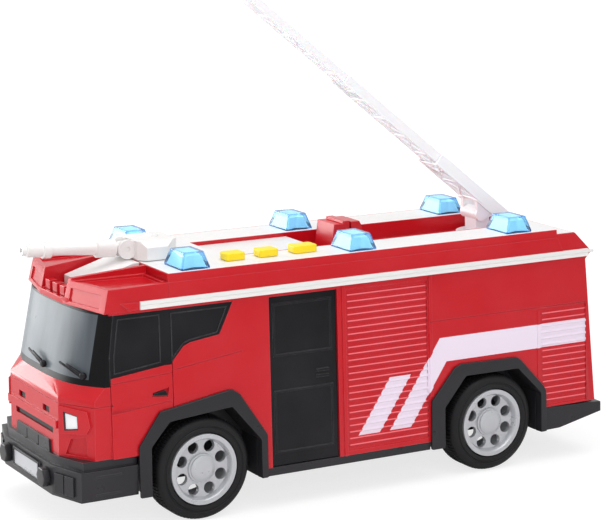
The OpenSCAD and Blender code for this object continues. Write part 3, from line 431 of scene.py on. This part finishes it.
# %% tyres with shoulder lugs
section = [(15.8, 1.2), (16.4, 0.3), (17.2, 0.05), (18.2, 0.0), (18.5, 0.35), (18.9, 0.35), (19.2, 0.0),
           (20.2, 0.1), (21.3, 0.7), (22.2, 1.7), (22.85, 3.4), (22.88, 6.2), (22.4, 6.5), (22.4, 9.5),
           (22.88, 9.8), (22.85, 12.6), (22.2, 14.3), (20.2, 15.9), (16.4, 15.7), (15.8, 14.8)]
low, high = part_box("front_tyre_left")
hub = Vector(((low.x + high.x) / 2, high.y, (low.z + high.z) / 2))
tyre = lathe("tyre_front_left", hub, section, "Y", -1, 160)


def lug_gap(c, n):
    out = math.hypot(c.x - hub.x, c.z - hub.z) * 1000
    step = math.floor((math.atan2(c.z - hub.z, c.x - hub.x) / (2 * math.pi) + 1) * 160 + 1e-4)
    reflection_dimming = (hub.y - c.y) * 1000
    return out > 21.9 and step % 2 == 0 and (reflection_dimming < 5.0 or reflection_dimming > 11.0)


count = pick(tyre, lug_gap)
bpy.ops.mesh.inset(thickness=0.0001, depth=-0.0004)
finish_piece(tyre, "tyre_pvc", "front_axle")
rear_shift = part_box("rear_tyre_left")[0].x - low.x
for name, body, node, shift, flip in (
        ("tyre_front_right", "front_axle", "front_tyre_right", 0, True),
        ("tyre_rear_left", "rear_axle", "rear_tyre_left", rear_shift, False),
        ("tyre_rear_right", "rear_axle", "rear_tyre_right", rear_shift, True)):
    twin = copy_of(tyre, name, (shift, 0, 0), flip)
    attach(twin, body)
    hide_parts(node)
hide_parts("front_tyre_left")
print("faces sunk between the lugs:", count)

# %% [markdown]
# ## Beacons
# A beacon is a clear blue cap over a bright faceted reflector. The caps are the frame's own pieces in
# a clear blue finish that refracts, with painted shade: their edges are a deeper blue. The reflectors
# are modelled here: a frustum with a pressed valley down the middle of each long side, as a pair of
# mirrors set at an angle. Their brightness is a painted reflection, a pale cyan base colour.

# %% clear blue caps and their reflectors
cap = bpy.data.materials.new("clear_blue_ps")
cap.use_nodes = True
t = cap.node_tree
shader = t.nodes["Principled BSDF"]
place = add(t, "TexCoord").outputs["Object"]
haze = add(t, "TexNoise", Vector=place, Scale=1000 / 6, Detail=3.0)
# Painted shade: the cap is painted a deeper blue within 1.7 mm of its edges.
edge_shade = add(t, "MapRange", Value=near_edge(t, 1.7), i1=0.998, i2=0.96, i3=0.0, i4=1.0)
tint = add(t, "Mix", {"data_type": "RGBA"}, Factor=edge_shade.outputs[0])
tint.inputs[6].default_value = linear("CDE9FF")
tint.inputs[7].default_value = linear("4A78E4")
t.links.new(tint.outputs[2], shader.inputs["Base Color"])
polish = add(t, "MapRange", Value=haze.outputs[0], i1=0.3, i2=0.7, i3=0.02, i4=0.08)
t.links.new(polish.outputs[0], shader.inputs["Roughness"])
shader.inputs["Transmission Weight"].default_value = 0.95
shader.inputs["IOR"].default_value = 1.3
through = add(t, "BsdfTransparent", Color=linear("CFEBFF"))
blend = add(t, "MixShader", i0=add(t, "LightPath").outputs["Is Shadow Ray"], i1=shader.outputs[0],
            i2=through.outputs[0])
t.links.new(blend.outputs[0], t.nodes["Material Output"].inputs["Surface"])
finishes["clear_blue_ps"] = cap
# The reflectors are plain plastic, not metal: their bright pale cyan is a painted reflection.
finishes["pale_cyan_painted_reflection"] = moulded("pale_cyan_painted_reflection", "A4DFF3", "EAFCFF", 0.18, 0.08, 3.0, 0.01, 1.5)
made = 0
for name in sorted(nodes):
    if not name.startswith("beacon_"):
        continue
    nodes[name].data.materials.clear()
    nodes[name].data.materials.append(cap)
    low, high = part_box(name)
    mid = (low + high) / 2
    o = block("reflector_" + name[7:], (low.x + 0.0012, low.y + 0.0012, low.z + 0.0003),
              (high.x - 0.0012, high.y - 0.0012, high.z - 0.0018))
    pick(o, lambda c, n: n.z > 0.9)
    bpy.ops.transform.resize(value=(0.66, 0.74, 1), center_override=(mid.x, mid.y, high.z))
    bpy.ops.mesh.inset(thickness=0.0009, depth=-0.0005)
    bpy.ops.mesh.select_all(action="SELECT")
    bpy.ops.mesh.bisect(plane_co=mid, plane_no=(1, 0, 0))
    bpy.ops.mesh.select_mode(type="VERT")
    bpy.ops.mesh.select_all(action="DESELECT")
    bpy.ops.object.mode_set(mode="OBJECT")
    for v in o.data.vertices:
        v.select = abs(v.co.x - mid.x) < 1e-6 and v.co.z < mid.z + 0.001 and abs(v.co.y - mid.y) > 0.004
    bpy.ops.object.mode_set(mode="EDIT")
    bpy.ops.transform.resize(value=(1, 0.7, 1), center_override=mid)
    bpy.ops.mesh.select_mode(type="FACE")
    finish_piece(o, "pale_cyan_painted_reflection", "body", edge_mm=0.15, angle=12)
    made += 1
print("reflectors:", made)

# %% [markdown]
# ## Wipers
# Each wiper is a short tapered arm from a pivot boss and a thin blade that lies along the glass.
# They are built flat at the origin, turned to the slope of the screen, and set down on the pivots.

# %% wipers
def wiper(name, pivot, turn, rise):
    arm = block(name, (-0.0006, -0.0105, -0.0004), (0.0006, 0.0002, 0.0009))
    pick(arm, lambda c, n: n.y < -0.9)
    bpy.ops.transform.resize(value=(0.6, 1, 0.5), center_override=(0, -0.0105, 0))
    bpy.ops.object.mode_set(mode="OBJECT")
    blade = block(name + "_blade", (-0.0007, -0.0145, -0.0016), (0.0, -0.0005, -0.0007))
    pick(blade, lambda c, n: abs(n.y) > 0.9)
    bpy.ops.mesh.extrude_region_move(TRANSFORM_OT_translate={"value": (0, 0, 0)})
    bpy.ops.transform.resize(value=(0.4, 1.06, 0.4), center_override=(-0.0003, -0.0075, -0.001))
    bpy.ops.object.mode_set(mode="OBJECT")
    knob = [(1.5, -0.9), (1.6, 0.4), (1.2, 1.1)]
    boss = lathe(name + "_boss", (0, 0, 0), knob, "Z", 1, 20, closed=False)
    bpy.ops.mesh.select_all(action="SELECT")
    bpy.ops.transform.rotate(value=-math.pi / 2, orient_axis="Y", center_override=(0, 0, 0))
    bpy.ops.object.mode_set(mode="OBJECT")
    join([arm, blade, boss], name)
    spin = Matrix.Rotation(turn, 4, "Z") @ Matrix.Rotation(rise, 4, "X")
    arm.data.transform(Matrix.Translation(pivot) @ spin)
    return arm


low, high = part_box("wipers")
droop = math.radians(-20)
near = wiper("wiper_left", (high.x - 0.0071, 0.034, low.z + 0.0025), math.radians(21), droop)
far = wiper("wiper_right", (high.x - 0.0012, 0.006, low.z + 0.0025), math.radians(4), droop)
finish_piece(near, "black_gloss_abs", "body", edge_mm=0.12, replaces=["wipers"])
finish_piece(far, "black_gloss_abs", "body", edge_mm=0.12)
print("wipers reach up to", round(max(v.co.z for v in near.data.vertices), 4))

# %% [markdown]
# ## Ladder bracing
# The rails are tied by crossed braces between the rungs, and each rail has a thin lip along its foot.
# They are laid flat in the ladder's own measure, from its hinge, and then turned up with it. Each
# section's braces ride on that section, and the lowest start clear of the turntable's cheeks.

# %% crossed braces and rail lips
LIFT = math.radians(38.5)
HINGE = (-0.09255, 0, 0.1136)
BAY = 14.6
raised = Matrix.Translation(HINGE) @ Matrix.Rotation(-LIFT, 4, "Y")
for body, start, length, half, foot, wall in (
        ("ladder_lower", 3.4, 33.9, 8.0, 3.8, 1.2), ("ladder_middle", 25.3, 76.0, 6.5, 4.8, 1.0),
        ("ladder_upper", 89.3, 72.0, 5.2, 5.6, 1.0)):
    parts = []
    bays = int((length - 4) // BAY)
    inner = half - wall + 0.1
    for k in range(bays):
        s0, s1 = start + 2.8 + k * BAY, start + 2.8 + (k + 1) * BAY
        for way in (-1, 1):
            reach = math.hypot(s1 - s0, 2 * inner) / 2000
            mid = Vector(((s0 + s1) / 2000, 0, (foot + 0.35) / 1000))
            o = block("brace", (-reach + 0.0004, -0.00045, -0.0003), (reach - 0.0004, 0.00045, 0.0003))
            pick(o, lambda c, n: abs(n.x) > 0.9)
            bpy.ops.mesh.extrude_region_move(TRANSFORM_OT_translate={"value": (0, 0, 0)})
            bpy.ops.transform.resize(value=(1.0, 1.8, 1), center_override=(0, 0, 0))
            bpy.ops.object.mode_set(mode="OBJECT")
            turn = Matrix.Rotation(way * math.atan2(2 * inner, s1 - s0), 4, "Z")
            o.data.transform(Matrix.Translation(mid) @ turn)
            parts.append(o)
    for way in (-1, 1):
        a, b = sorted((way * (half - 0.1), way * (half + 0.18)))
        o = block("lip", (start / 1000, a / 1000, foot / 1000),
                  ((start + length) / 1000, b / 1000, (foot + 0.8) / 1000))
        pick(o, lambda c, n: abs(n.y) > 0.9 and n.y * way > 0)
        bpy.ops.transform.resize(value=(1, 1, 0.6), center_override=(0, 0, foot / 1000))
        bpy.ops.object.mode_set(mode="OBJECT")
        parts.append(o)
    lattice = join(parts, body + "_bracing")
    lattice.data.transform(raised)
    finish_piece(lattice, "ladder_pp", body, edge_mm=0.08)
    print(body, "braces:", 2 * bays)

# %% [markdown]
# ## Raised outlines
# Thin raised frames run round the panes, the lamps and the plates. Each starts as a ring of as many
# corners as its outline has. Every corner is picked and moved to its place, the face is inset to a
# narrow band, its middle is taken out and the band is extruded. It is then laid on its wall.

# %% thin frames
def outline(name, corners, width_mm, thick_mm, place):
    """A flat frame through corners (mm) in its own XZ plane, growing outwards along +Y."""
    clear_selection()
    bpy.ops.mesh.primitive_circle_add(vertices=len(corners), radius=1, location=(0, 0, 0))
    o = bpy.context.object
    o.name = name
    for i, (u, w) in enumerate(corners):
        bpy.ops.object.mode_set(mode="EDIT")
        bpy.ops.mesh.select_mode(type="VERT")
        bpy.ops.mesh.select_all(action="DESELECT")
        bpy.ops.object.mode_set(mode="OBJECT")
        o.data.vertices[i].select = True
        here = o.data.vertices[i].co.copy()
        bpy.ops.object.mode_set(mode="EDIT")
        bpy.ops.transform.translate(value=Vector((u / 1000, 0, w / 1000)) - here)
    bpy.ops.mesh.select_all(action="SELECT")
    bpy.ops.mesh.edge_face_add()
    bpy.ops.mesh.select_mode(type="FACE")
    bpy.ops.mesh.select_all(action="SELECT")
    bpy.ops.mesh.inset(thickness=width_mm / 1000)
    bpy.ops.mesh.delete(type="FACE")
    bpy.ops.mesh.select_all(action="SELECT")
    bpy.ops.mesh.extrude_region_move(TRANSFORM_OT_translate={"value": (0, thick_mm / 1000, 0)})
    bpy.ops.object.mode_set(mode="OBJECT")
    o.data.transform(place)
    bpy.ops.object.mode_set(mode="EDIT")
    return o


wall_left = Matrix.Translation((0, 0.04465, 0)) @ Matrix.Rotation(math.radians(3), 4, "X")
pane_left = wall_left @ Matrix.Translation((0, -0.00035, 0))
door_corners = [(116.2, 69.6), (94.2, 72.2), (94.2, 92.9), (113.9, 92.9), (116.2, 77.2)]
crew_corners = [(89.0, 72.0), (88.1, 73.8), (83.4, 78.9), (80.4, 80.1), (67.0, 82.0), (61.9, 92.9),
                (89.0, 92.9)]
front_pane = outline("door_pane_frame_left", door_corners, 0.45, 0.3, pane_left)
rear_pane = outline("crew_pane_frame_left", crew_corners, 0.45, 0.3, pane_left)
for o in (front_pane, rear_pane):
    finish_piece(o, "black_gloss_abs", "body")
    mirror_right(o)
low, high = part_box("plate_front")
facing = Matrix.Translation((high.x - 0.0003, 0, 0)) @ Matrix.Rotation(-math.pi / 2, 4, "Z")
z0, z1 = low.z * 1000 - 0.5, high.z * 1000 + 0.5
around = [(-14.2, z0), (14.2, z0), (14.2, z1), (-14.2, z1)]
border = outline("front_plate_frame", around, 1.1, 0.7, facing)
finish_piece(border, "dark_satin_abs", "body", edge_mm=0.2)
rear_wall = Matrix.Translation((-0.1356, 0, 0)) @ Matrix.Rotation(math.radians(4.06), 4, "Y")
facing = rear_wall @ Matrix.Translation((-0.0004, 0, 0)) @ Matrix.Rotation(math.pi / 2, 4, "Z")
around = [(-14.2, 27.0), (14.2, 27.0), (14.2, 33.7), (-14.2, 33.7)]
border = outline("rear_plate_frame", around, 1.1, 0.8, facing)
finish_piece(border, "dark_satin_abs", "body", edge_mm=0.2)
corner = Matrix.Translation((0.1353, 0.026, 0)) @ Matrix.Rotation(math.radians(32.22), 4, "Z")
facing = corner @ Matrix.Translation((0.00015, 0, 0)) @ Matrix.Rotation(-math.pi / 2, 4, "Z")
around = [(-3.4, 45.0), (-10.6, 46.2), (-10.2, 52.2), (-3.0, 53.4)]
rim = outline("headlight_rim_left", around, 0.5, 0.5, facing)
finish_piece(rim, "black_gloss_abs", "body")
mirror_right(rim)

# %% [markdown]
# ## Shutter ribs and post seams
# The roller shutters have low ribs. Each is a thin bar along X that narrows outwards, with its edges
# rounded, set on the narrow land between two grooves. A slim black bead covers the seam between the
# windscreen and the side window.

# %% ribs on the lockers and beads on the corner posts
def ribs(name, x0, x1, z0, count, pitch=2.95):
    bars = []
    for i in range(count):
        z = z0 + (i + 0.87) * pitch
        foot = (x0 / 1000, -0.0003, (z - 0.42) / 1000)
        bars.append(block(name, foot, (x1 / 1000, 0.0002, (z + 0.42) / 1000)))
        pick(bars[-1], lambda c, n: n.y > 0.9)
        middle = ((x0 + x1) / 2000, 0, z / 1000)
        bpy.ops.transform.resize(value=((x1 - x0 - 1.0) / (x1 - x0), 1, 0.5), center_override=middle)
        bpy.ops.object.mode_set(mode="OBJECT")
    rack = join(bars, name)
    rack.data.transform(wall_left)
    # The ribs take the paler red: a painted highlight for the light their crests catch.
    return finish_piece(rack, "painted_highlight_red_abs", "body", edge_mm=0.12, angle=20)


beads = []
seam = [(118.05, 66.6), (118.05, 77.0), (115.75, 94.4)]
for foot, head in zip(seam, seam[1:]):
    length = math.dist(foot, head) / 1000
    bead = block("bead", (-0.00045, -0.0004, -0.0001), (0.00045, 0.0002, length + 0.0001))
    pick(bead, lambda c, n: n.y > 0.9)
    bpy.ops.transform.resize(value=(0.5, 1, 1), center_override=(0, 0, length / 2))
    bpy.ops.object.mode_set(mode="OBJECT")
    lean = Matrix.Rotation(math.atan2(head[0] - foot[0], head[1] - foot[1]), 4, "Y")
    bead.data.transform(wall_left @ Matrix.Translation((foot[0] / 1000, 0, foot[1] / 1000)) @ lean)
    beads.append(bead)
post_bead = join(beads, "post_bead_left")
finish_piece(post_bead, "black_gloss_abs", "body", edge_mm=0.12)
mirror_right(ribs("locker_ribs_left", -39.6, 2.2, 20.8, 24))
mirror_right(ribs("rear_ribs_left", -128.6, -103.4, 27.3, 15))
mirror_right(post_bead)

# %% [markdown]
# ## Deck plate
# The white roof plate is moulded with a small chequer so that it looks like tread plate. Two sets of
# waves crossing at right angles give raised dots 4.4 mm apart.

# %% chequered white plastic
deck = moulded("chequered_white_abs", "E6E4E3", "F4F2F0", 0.4, 0.1, 4.0, 0.012)
t = deck.node_tree
shader = t.nodes["Principled BSDF"]
place = add(t, "TexCoord").outputs["Object"]
turned = add(t, "Mapping", Vector=place, Rotation=(0, 0, math.radians(45)))
DOT_PITCH_MM = 4.4
waves = 2 * math.pi * 1000 / DOT_PITCH_MM / 20
rows = add(t, "TexWave", {"bands_direction": "X"}, Vector=turned.outputs[0], Scale=waves)
cols = add(t, "TexWave", {"bands_direction": "Y"}, Vector=turned.outputs[0], Scale=waves)
dots = combine(t, rows.outputs["Fac"], cols.outputs["Fac"])
raise_dots = add(t, "Bump", Height=dots, Distance=0.00015, Strength=0.7)
under = shader.inputs["Normal"].links[0].from_socket
t.links.new(under, raise_dots.inputs["Normal"])
t.links.new(raise_dots.outputs[0], shader.inputs["Normal"])
finishes["chequered_white_abs"] = deck
for name in ("roof_deck", "centre_deck"):
    nodes[name].data.materials.clear()
    nodes[name].data.materials.append(deck)
print("deck dots are", DOT_PITCH_MM, "mm apart")

# %% [markdown]
# ## Screws underneath
# Six pan head screws hold the chassis to the body. Each head is turned with a sunk round drive.

# %% screws
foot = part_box("chassis")[0].z
places = [(x, y) for x in (-0.045, 0.0, 0.038) for y in (0.033, -0.033)]
for i, (x, y) in enumerate(places):
    head = [(2.7, -0.3), (2.7, 0.3), (2.1, 0.75), (1.1, 0.8), (0.9, 0.2)]
    o = lathe("screw_%d" % (i + 1), (x, y, foot), head, "Z", -1, 28, closed=False)
    bpy.ops.object.mode_set(mode="OBJECT")
    finish_piece(o, "drawn_steel", "body")
print("screws:", len(places))

# %% [markdown]
# ## Light, floor and background
# Wide soft lamps light the toy from above and from in front, so its nose and roof mirror them and
# look paler than its sides. The floor is plain and pale and keeps the shadow. The world is white: the
# camera sees it in full, mirror rays nearly so, and it fills the shadows with less than half of that.

# %% stage
clear_selection()
bpy.ops.mesh.primitive_plane_add(size=14, location=(0, 0, 0))
floor = bpy.context.object
floor.name = "studio_floor"
paper = bpy.data.materials.new("matt_white_paper")
paper.use_nodes = True
t = paper.node_tree
shader = t.nodes["Principled BSDF"]
shader.inputs["Base Color"].default_value = linear("F2F2F2")
shader.inputs["Roughness"].default_value = 0.9
shader.inputs["Specular IOR Level"].default_value = 0.1
glow = add(t, "Emission", Strength=1.2)
seen = add(t, "LightPath")
reach = add(t, "VectorMath", {"operation": "LENGTH"}, i0=add(t, "TexCoord").outputs["Object"])
far = add(t, "MapRange", Value=reach.outputs["Value"], i1=0.25, i2=0.6, i3=0.62, i4=1.0)
half = add(t, "Math", {"operation": "MULTIPLY"}, i0=seen.outputs["Is Camera Ray"], i1=far.outputs[0])
blend = add(t, "MixShader", i0=half.outputs[0], i1=shader.outputs[0], i2=glow.outputs[0])
t.links.new(blend.outputs[0], t.nodes["Material Output"].inputs["Surface"])
floor.data.materials.append(paper)

world = bpy.data.worlds.new("white room")
bpy.context.scene.world = world
world.use_nodes = True
t = world.node_tree
seen = add(t, "LightPath")
mirror = combine(t, seen.outputs["Is Glossy Ray"], seen.outputs["Is Transmission Ray"], "MAXIMUM")
strength = add(t, "Math", {"operation": "MAXIMUM"}, i0=seen.outputs["Is Camera Ray"],
               i1=combine(t, mirror, 0.8))
level = add(t, "MapRange", Value=strength.outputs[0], i1=0.0, i2=1.0, i3=0.42, i4=1.0)
t.nodes["Background"].inputs["Color"].default_value = (1, 1, 1, 1)
t.links.new(level.outputs[0], t.nodes["Background"].inputs["Strength"])


def softbox(name, place, aim, size, power):
    lamp = bpy.data.lights.new(name, "AREA")
    lamp.shape = "RECTANGLE"
    lamp.size, lamp.size_y = size
    lamp.energy = power
    o = bpy.data.objects.new(name, lamp)
    bpy.context.scene.collection.objects.link(o)
    o.location = place
    o.rotation_euler = (Vector(aim) - Vector(place)).to_track_quat("-Z", "Y").to_euler()
    return o


softbox("top", (0.05, 0.1, 0.85), (0, 0, 0.05), (1.1, 0.9), 6.0)
softbox("front", (0.6, -0.75, 0.2), (0.08, 0, 0.05), (0.8, 0.4), 6.5)
softbox("left", (0.5, 1.2, 0.5), (0, 0, 0.06), (0.9, 0.7), 6.0).visible_glossy = False
